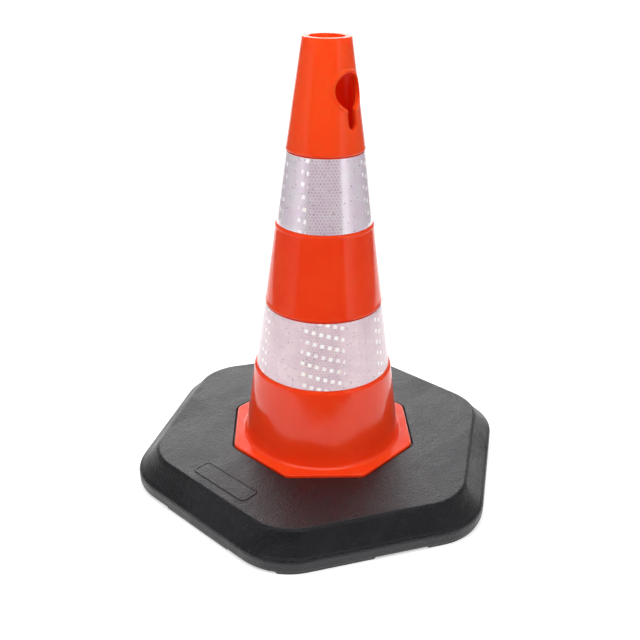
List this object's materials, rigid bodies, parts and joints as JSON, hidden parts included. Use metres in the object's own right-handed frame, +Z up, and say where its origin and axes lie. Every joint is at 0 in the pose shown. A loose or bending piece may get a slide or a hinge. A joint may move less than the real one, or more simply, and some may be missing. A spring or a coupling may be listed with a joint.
{
  "type": "traffic cone",
  "caption": "Two-part traffic cone: hollow orange cone body with octagonal flange, reflective bands and keyholes, snapped into a hexagonal rubber ballast base.",
  "frame": {"origin": "centre of the footprint, on the floor under the foot pads", "axes": "+Z up along the cone's axis; +X and -X point at two corners of the hexagonal base and at the two keyholes; -Y is the side of the base with the blank moulded pad"},
  "size_m": [0.4474, 0.4068, 0.5],
  "materials": {
    "base_rubber": "fine matte grain, recycled rubber compound",
    "cone_plastic": "satin, slightly glossy moulded polyethylene",
    "reflective_sheeting": "prismatic retroreflective sheeting under a clear film"
  },
  "bodies": {
    "base": {"ballast_base": "base_rubber"},
    "cone": {"cone_body": "cone_plastic", "reflective_band_upper": "reflective_sheeting", "reflective_band_lower": "reflective_sheeting"}
  },
  "joints": [
    {"name": "cone_lift", "type": "slide", "parent": "base", "child": "cone", "axis": [0, 0, 1], "range_m": [0, 0.06]}
  ]
}
